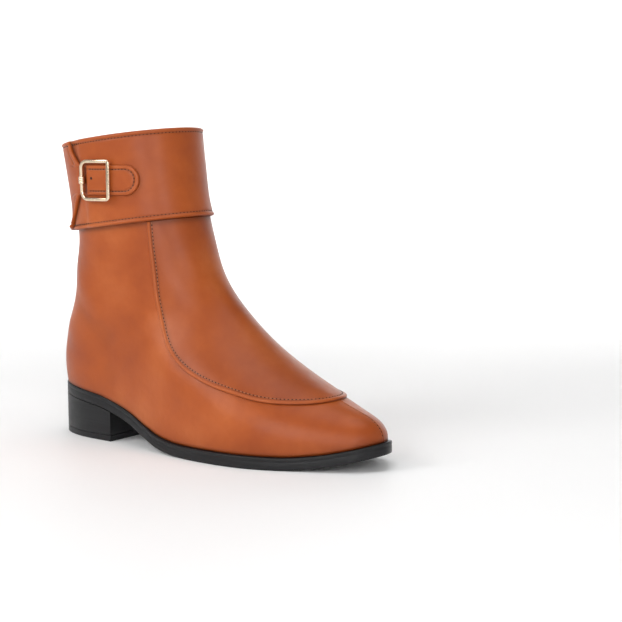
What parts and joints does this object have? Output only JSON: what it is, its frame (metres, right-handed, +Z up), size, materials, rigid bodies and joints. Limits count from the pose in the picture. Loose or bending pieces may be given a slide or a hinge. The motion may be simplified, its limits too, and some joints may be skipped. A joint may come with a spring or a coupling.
{
  "type": "ankle boot",
  "caption": "Right ankle boot with a hollow shaped upper, folded cuff with buckled strap tab, apron seam, inner side zip and low block heel.",
  "frame": {"origin": "in the heel's flat resting face on the floor, half way over its width and 29 mm behind its breast", "axes": "+X towards the toe, +Y towards the inner side of the foot, +Z up"},
  "size_m": [0.2674, 0.0924, 0.2162],
  "materials": {
    "leather_tan": "smooth tan leather with a soft gloss",
    "sole_black": "black, satin edge",
    "lining": "matt light lining leather",
    "buckle_gold": "polished pale gold",
    "zip_tape": "woven brown tape",
    "zip_coil": "moulded brown coil",
    "zip_metal": "tan enamel"
  },
  "bodies": {
    "boot": {"outsole": "sole_black", "heel_block": "sole_black", "top_lift": "sole_black", "insole": "lining", "upper": "leather_tan", "vamp_plug": "leather_tan", "apron_bead": "leather_tan", "cuff_front": "leather_tan", "cuff_back": "leather_tan", "strap_tab": "leather_tan", "buckle_frame": "buckle_gold", "buckle_sleeve": "buckle_gold", "zip_tape": "zip_tape", "zip_coil": "zip_coil", "zip_slider": "zip_metal"},
    "pull_tab": {"pull_tab": "zip_metal"}
  },
  "joints": [
    {"name": "tab_swing", "type": "hinge", "parent": "boot", "child": "pull_tab", "pos_m": [0.04095, 0.04103, 0.20475], "axis": [0.9786, -0.1748, -0.1085], "range_deg": [-3, 160]}
  ]
}
